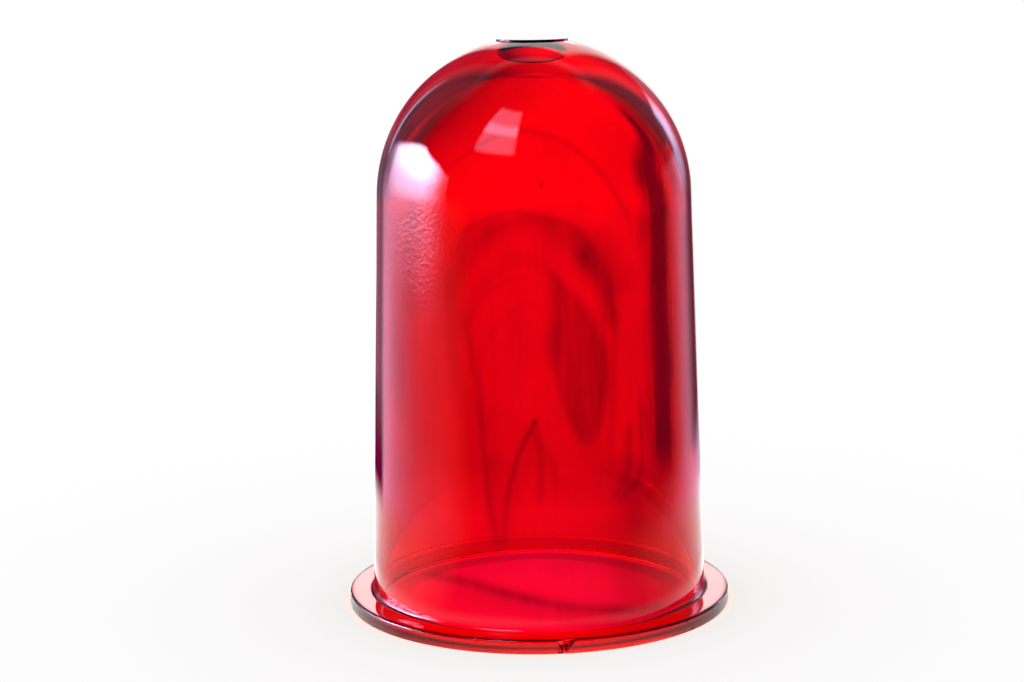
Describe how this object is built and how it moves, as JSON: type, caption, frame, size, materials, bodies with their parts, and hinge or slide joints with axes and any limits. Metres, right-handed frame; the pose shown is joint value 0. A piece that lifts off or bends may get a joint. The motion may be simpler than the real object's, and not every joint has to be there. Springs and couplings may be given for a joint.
{
  "type": "flanged glass lamp globe",
  "caption": "Hollow domed cover of transparent ruby glass with a tapered barrel, an open mouth and a round clamping flange, for a signal or bulkhead lamp.",
  "frame": {"origin": "centre of the flange's bottom face, in the plane of the open mouth", "axes": "+Z along the axis of revolution, from the mouth to the crown; X and Y are alike"},
  "size_m": [0.1124, 0.1124, 0.165],
  "materials": {
    "ruby_glass": "pressed and fire-polished, clear, coloured through"
  },
  "bodies": {
    "root": {"flanged_globe": "ruby_glass"}
  },
  "joints": []
}
